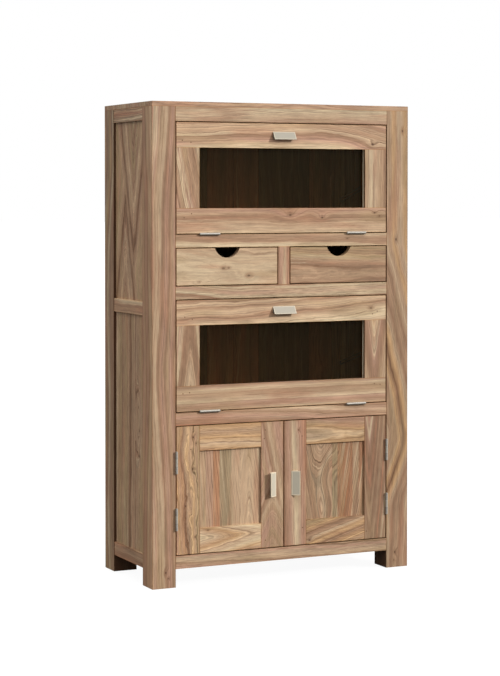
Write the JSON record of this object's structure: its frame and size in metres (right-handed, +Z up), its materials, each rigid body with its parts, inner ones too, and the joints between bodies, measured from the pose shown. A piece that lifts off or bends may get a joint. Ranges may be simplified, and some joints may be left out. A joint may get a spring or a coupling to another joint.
{
  "type": "highboard",
  "caption": "Tall wooden post-and-rail cabinet with glazed drop flaps, drawers between them and panelled doors below.",
  "frame": {"origin": "on the floor, in the middle of the width and of the depth measured over the handles", "axes": "+X to the right seen from the front, +Y to the back, +Z up"},
  "size_m": [0.9, 0.4148, 1.5],
  "materials": {
    "frame_wood": "oiled hardwood with mixed tan and reddish grain, satin",
    "panel_wood": "oiled hardwood staves glued side by side, satin",
    "inside_wood": "plain planed wood, matt",
    "brushed_steel": "brushed",
    "clear_glass": "clear and smooth",
    "catch_plastic": "matt"
  },
  "bodies": {
    "cabinet": {"post_front_left": "frame_wood", "post_front_right": "frame_wood", "post_back_left": "frame_wood", "post_back_right": "frame_wood", "top_board": "frame_wood", "top_rail": "frame_wood", "middle_rails": "frame_wood", "bottom_rail": "frame_wood", "drawer_divider": "frame_wood", "left_side_rails": "frame_wood", "right_side_rails": "frame_wood", "left_side_panels": "panel_wood", "right_side_panels": "panel_wood", "back_rails": "frame_wood", "back_boards": "inside_wood", "upper_shelf": "inside_wood", "drawer_shelf": "inside_wood", "lower_shelf": "inside_wood", "cupboard_floor": "inside_wood", "shelf_battens": "inside_wood", "drawer_side_guides": "inside_wood", "drawer_centre_guide": "inside_wood", "fixed_hinge_leaves": "brushed_steel", "hinge_pins": "brushed_steel", "stay_pins": "brushed_steel", "magnetic_catches": "catch_plastic"},
    "upper_flap": {"upper_flap_rails": "frame_wood", "upper_flap_stiles": "frame_wood", "upper_flap_glass": "clear_glass", "upper_flap_beads": "inside_wood", "upper_flap_hinge_leaves": "brushed_steel", "upper_flap_handle": "brushed_steel", "upper_flap_stay_brackets": "brushed_steel"},
    "lower_flap": {"lower_flap_rails": "frame_wood", "lower_flap_stiles": "frame_wood", "lower_flap_glass": "clear_glass", "lower_flap_beads": "inside_wood", "lower_flap_hinge_leaves": "brushed_steel", "lower_flap_handle": "brushed_steel", "lower_flap_stay_brackets": "brushed_steel"},
    "left_door": {"left_door_stiles": "frame_wood", "left_door_rails": "frame_wood", "left_door_panel": "panel_wood", "left_door_hinge_leaves": "brushed_steel", "left_door_handle": "brushed_steel"},
    "right_door": {"right_door_stiles": "frame_wood", "right_door_rails": "frame_wood", "right_door_panel": "panel_wood", "right_door_hinge_leaves": "brushed_steel", "right_door_handle": "brushed_steel"},
    "left_drawer": {"left_drawer_front": "panel_wood", "left_drawer_box": "inside_wood", "left_drawer_bottom": "inside_wood"},
    "right_drawer": {"right_drawer_front": "panel_wood", "right_drawer_box": "inside_wood", "right_drawer_bottom": "inside_wood"},
    "upper_left_stay": {"upper_left_stay": "brushed_steel"},
    "upper_right_stay": {"upper_right_stay": "brushed_steel"},
    "lower_left_stay": {"lower_left_stay": "brushed_steel"},
    "lower_right_stay": {"lower_right_stay": "brushed_steel"}
  },
  "joints": [
    {"name": "upper_flap_hinge", "type": "hinge", "parent": "cabinet", "child": "upper_flap", "pos_m": [0, -0.1968, 1.0915], "axis": [1, 0, 0], "range_deg": [0, 90]},
    {"name": "lower_flap_hinge", "type": "hinge", "parent": "cabinet", "child": "lower_flap", "pos_m": [0, -0.1968, 0.5415], "axis": [1, 0, 0], "range_deg": [0, 90]},
    {"name": "left_drawer_slide", "type": "slide", "parent": "cabinet", "child": "left_drawer", "axis": [0, -1, 0], "range_m": [0, 0.312]},
    {"name": "right_drawer_slide", "type": "slide", "parent": "cabinet", "child": "right_drawer", "axis": [0, -1, 0], "range_m": [0, 0.312]},
    {"name": "left_door_hinge", "type": "hinge", "parent": "cabinet", "child": "left_door", "pos_m": [-0.3705, -0.1968, 0.2985], "axis": [0, 0, -1], "range_deg": [0, 180]},
    {"name": "right_door_hinge", "type": "hinge", "parent": "cabinet", "child": "right_door", "pos_m": [0.3705, -0.1968, 0.2985], "axis": [0, 0, 1], "range_deg": [0, 180]},
    {"name": "upper_left_stay_pivot", "type": "hinge", "parent": "upper_flap", "child": "upper_left_stay", "pos_m": [-0.3645, -0.1626, 1.2715], "axis": [1, 0, 0], "range_deg": [-45, 0]},
    {"name": "upper_right_stay_pivot", "type": "hinge", "parent": "upper_flap", "child": "upper_right_stay", "pos_m": [0.3645, -0.1626, 1.2715], "axis": [1, 0, 0], "range_deg": [-45, 0]},
    {"name": "lower_left_stay_pivot", "type": "hinge", "parent": "lower_flap", "child": "lower_left_stay", "pos_m": [-0.3645, -0.1626, 0.7215], "axis": [1, 0, 0], "range_deg": [-45, 0]},
    {"name": "lower_right_stay_pivot", "type": "hinge", "parent": "lower_flap", "child": "lower_right_stay", "pos_m": [0.3645, -0.1626, 0.7215], "axis": [1, 0, 0], "range_deg": [-45, 0]}
  ],
  "couplings": [
    {"joint": "upper_left_stay_pivot", "follows": "upper_flap_hinge", "ratio": -0.5},
    {"joint": "upper_right_stay_pivot", "follows": "upper_flap_hinge", "ratio": -0.5},
    {"joint": "lower_left_stay_pivot", "follows": "lower_flap_hinge", "ratio": -0.5},
    {"joint": "lower_right_stay_pivot", "follows": "lower_flap_hinge", "ratio": -0.5}
  ]
}
